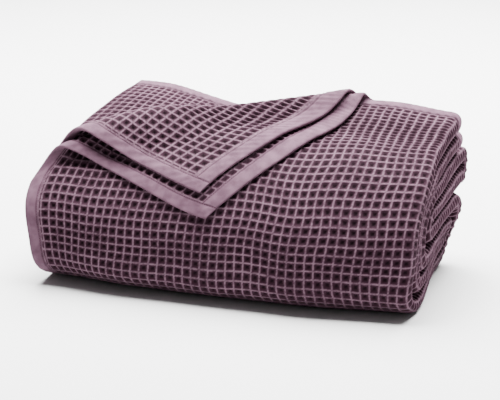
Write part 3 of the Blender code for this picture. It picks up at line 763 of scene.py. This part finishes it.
def span(nodes, links, value, low, high):
    """Bring a value to 0 at low and 1 at high, smoothly."""
    node = nodes.new("ShaderNodeMapRange")
    node.interpolation_type = "SMOOTHSTEP"
    node.inputs["From Min"].default_value = low
    node.inputs["From Max"].default_value = high
    links.new(value, node.inputs["Value"])
    return node.outputs["Result"]


def noise(nodes, links, scale, detail):
    """Soft random values through the piece's own space."""
    node = nodes.new("ShaderNodeTexNoise")
    node.inputs["Scale"].default_value = scale
    node.inputs["Detail"].default_value = detail
    links.new(nodes.new("ShaderNodeTexCoord").outputs["Object"], node.inputs["Vector"])
    return node.outputs["Fac"]


def sheet_coordinates(nodes):
    """The sheet coordinates that each mesh keeps as its map."""
    sheet = nodes.new("ShaderNodeUVMap")
    sheet.uv_map = "sheet"
    return sheet.outputs["UV"]


def relief_of_mesh(nodes):
    """The relief that each mesh keeps: of the waffle, or 0 in a tape's seam and 1 away from it."""
    relief = nodes.new("ShaderNodeAttribute")
    relief.attribute_name = "relief"
    return relief.outputs["Fac"]


def bump(nodes, links, shader, height, strength, distance):
    """Let the shader catch the light as if the height stood out of its surface."""
    node = nodes.new("ShaderNodeBump")
    node.inputs["Strength"].default_value = strength
    node.inputs["Distance"].default_value = distance
    links.new(height, node.inputs["Height"])
    links.new(node.outputs["Normal"], shader.inputs["Normal"])


def drawn_waffle(nodes, links, sheet):
    """The lines of ridges of a front face, worked out from the sheet coordinates.

    As in the meshes, each line is a power of the cosine across it, and the higher of the two sets counts.
    """
    split = nodes.new("ShaderNodeSeparateXYZ")
    links.new(sheet, split.inputs["Vector"])
    ridge_lines = []
    for axis, pitch in (("X", COLUMN_PITCH), ("Y", ROW_PITCH)):
        turn = number(nodes, links, "MULTIPLY", split.outputs[axis], math.pi / pitch)
        wave = number(nodes, links, "ABSOLUTE", number(nodes, links, "COSINE", turn))
        ridge_lines.append(number(nodes, links, "POWER", wave, RIDGE_SHARPNESS))
    return number(nodes, links, "MAXIMUM", *ridge_lines)


def waffle_cotton():
    """Mauve waffle cotton: lighter on its ridges, with painted shade on its slopes and deeper painted shade
    in its pits, and the yarns as a fine bump.
    """
    material, nodes, links, shader = cotton("waffle_cotton", roughness=0.95, sheen=0.06)
    sheet = sheet_coordinates(nodes)
    relief = relief_of_mesh(nodes)
    is_plain = number(nodes, links, "GREATER_THAN", relief, (1 + PLAIN_RELIEF) / 2)
    height = mixed(nodes, links, "FLOAT", is_plain, relief, drawn_waffle(nodes, links, sheet))

    fibre = noise(nodes, links, FIBRE_SCALE, detail=3)
    patch = noise(nodes, links, PATCH_SCALE, detail=3)
    mottle = number(nodes, links, "ADD", number(nodes, links, "MULTIPLY", fibre, FIBRE_SHARE),
                    number(nodes, links, "MULTIPLY", patch, 1 - FIBRE_SHARE))
    ridge = mixed(nodes, links, "RGBA", span(nodes, links, mottle, *MOTTLE_RANGE), RIDGE_DARK, RIDGE_LIGHT)
    # painted shade: pits and slopes are darkened in colour by their depth, for the shade that falls in them
    hollow_shade = mixed(nodes, links, "RGBA", span(nodes, links, height, *PIT_RANGE), PIT_SHADE_COLOUR, SLOPE_SHADE_COLOUR)
    colour = mixed(nodes, links, "RGBA", span(nodes, links, height, *RIDGE_RANGE), hollow_shade, ridge)
    links.new(colour, shader.inputs["Base Color"])

    warp = threads(nodes, links, sheet, "X", scale=320, distortion=2.5)
    weft = threads(nodes, links, sheet, "Y", scale=360, distortion=2.5)
    yarn = number(nodes, links, "ADD", number(nodes, links, "MULTIPLY", warp, weft), fibre)
    bump(nodes, links, shader, yarn, strength=0.6, distance=0.0008)
    return material


def tape_cotton():
    """Plain woven mauve tape, a little duller than the waffle's ridges, and darker in its seam."""
    material, nodes, links, shader = cotton("tape_cotton", roughness=0.85, sheen=0.10)
    patch = noise(nodes, links, TAPE_PATCH_SCALE, detail=5)
    plain = mixed(nodes, links, "RGBA", span(nodes, links, patch, *MOTTLE_RANGE), TAPE_DARK, TAPE_LIGHT)
    colour = mixed(nodes, links, "RGBA", relief_of_mesh(nodes), SEAM_COLOUR, plain)
    links.new(colour, shader.inputs["Base Color"])
    sheet = sheet_coordinates(nodes)
    warp = threads(nodes, links, sheet, "X", scale=700, distortion=1.0)
    weft = threads(nodes, links, sheet, "Y", scale=700, distortion=1.0)
    bump(nodes, links, shader, number(nodes, links, "ADD", warp, weft), strength=0.35, distance=0.0003)
    return material


# ---- the pieces ---------------------------------------------------------------------------------

# name, columns (from cell, to cell, lines a cell), rows alike, how many faces have ridges in the mesh
CLOTH_PIECES = (
    ("waffle_turned_corner", ((142, 178, 6),), ((0, 24, 6),), 2),
    ("waffle_top_right", ((129, 142, 6),), ((0, 24, 6),), 1),
    ("waffle_front", ((129, 178, 6),), ((24, 46, 6),), 1),
    ("waffle_upper_corner", ((0, 38, 6),), ((0, 25, 6),), 1),
    ("waffle_under_corners", ((53, 86, 6),), ((0, 25, 6),), 1),
    ("waffle_right_end", ((127, 136, 6),), ((46, 203, 6),), 1),
    ("waffle_left_fold", ((86, 92, 4),), ((0, 203, 4),), 1),
    ("waffle_back_fold", ((136, 178, 4),), ((54, 72, 4),), 1),
    ("waffle_bottom", ((136, 178, 0.5),), ((46, 54, 1),), 0),
    ("waffle_back_loop", ((136, 178, 4),), ((96, 112, 4),), 1),
    ("waffle_inner_a_low", ((136, 178, 0.5),), ((72, 96, 2),), 0),
    ("waffle_inner_a", ((136, 178, 0.5),), ((112, 203, 2),), 0),
    ("waffle_inner_b", ((0, 44, 0.5), (44, 46, 8), (46, 86, 0.5)), ((25, 203, 2),), 0),
    ("waffle_inner_bc", ((38, 44, 0.5), (44, 46, 8), (46, 53, 1)), ((0, 25, 2),), 0),
    ("waffle_inner_d", ((92, 127, 0.2),), ((46, 203, 2),), 0),
    ("waffle_inner_d_top", ((92, 129, 1),), ((0, 46, 2),), 0),
)

# name, the solid that it replaces, along the length or not, on the far side or not, phase of its puckers
TAPE_PIECES = (
    ("tape_side_under", "side_binding_under", True, False, 0.3),
    ("tape_side_top", "side_binding_top", True, True, 1.9),
    ("tape_end_top", "end_binding_top", False, False, 3.1),
    ("tape_end_inner", "end_binding_inner", False, True, 4.4),
)


def dress_cloth(name, columns, rows, waffled, material):
    """Make one patch of the sheet of waffle cloth, attach it to the root and hide the solid cloth that it
    stands for.
    """
    piece = cloth_piece(name, columns, rows, waffled, material)
    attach(piece, "root")
    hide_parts("blanket_cloth")


def dress_tape(name, node, along_length, far_side, phase, material):
    start, end = (0, SHEET_LENGTH) if along_length else (BUTT, SHEET_WIDTH - BUTT)
    piece = tape_piece(name, start, end, along_length, far_side, phase, material)
    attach(piece, "root")
    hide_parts(node)


waffle = waffle_cotton()
tape = tape_cotton()
for patch_row in CLOTH_PIECES:
    dress_cloth(*patch_row, waffle)
for tape_row in TAPE_PIECES:
    dress_tape(*tape_row, tape)


# ---- floor, light and camera ----------------------------------------------------------------------

def pale_floor():
    """A plain pale floor, just below the blanket."""
    bpy.ops.mesh.primitive_plane_add(size=FLOOR_SIZE, location=(0, 0, -FLOOR_GAP))
    floor = bpy.context.object
    floor.name = "floor"
    material = bpy.data.materials.new("pale_floor")
    material.use_nodes = True
    shader = material.node_tree.nodes["Principled BSDF"]
    shader.inputs["Base Color"].default_value = (*FLOOR_COLOUR, 1)
    shader.inputs["Roughness"].default_value = 0.9
    floor.data.materials.append(material)


def soft_light():
    """A large square light above and behind the blanket, which looks at it."""
    data = bpy.data.lights.new("overhead", "AREA")
    data.shape = "SQUARE"
    data.size = LIGHT_SIZE
    data.energy = LIGHT_POWER
    light = bpy.data.objects.new("overhead", data)
    light.location = LIGHT_PLACE
    light.rotation_euler = (Vector(LIGHT_AIM) - Vector(LIGHT_PLACE)).to_track_quat("-Z", "Y").to_euler()
    bpy.context.scene.collection.objects.link(light)


def white_surround():
    """An even white light from all round."""
    world = bpy.data.worlds.new("studio")
    world.use_nodes = True
    shade = world.node_tree.nodes["Background"]
    shade.inputs["Color"].default_value = (1, 1, 1, 1)
    shade.inputs["Strength"].default_value = SURROUND_STRENGTH
    bpy.context.scene.world = world


def photo_camera():
    """The photograph's view: a long lens from the front, a little to the right and above."""
    back = Vector((math.sin(CAMERA_AZIMUTH) * math.cos(CAMERA_ELEVATION),
                   -math.cos(CAMERA_AZIMUTH) * math.cos(CAMERA_ELEVATION), math.sin(CAMERA_ELEVATION)))
    data = bpy.data.cameras.new("camera")
    data.lens = FOCAL_PIXELS / PHOTO_WIDTH * data.sensor_width
    data.clip_end = VIEW_END
    camera = bpy.data.objects.new("camera", data)
    camera.location = Vector(CAMERA_TARGET) + back * CAMERA_DISTANCE
    camera.rotation_euler = (-back).to_track_quat("-Z", "Y").to_euler()
    bpy.context.scene.collection.objects.link(camera)
    bpy.context.scene.camera = camera


pale_floor()
white_surround()
soft_light()
photo_camera()
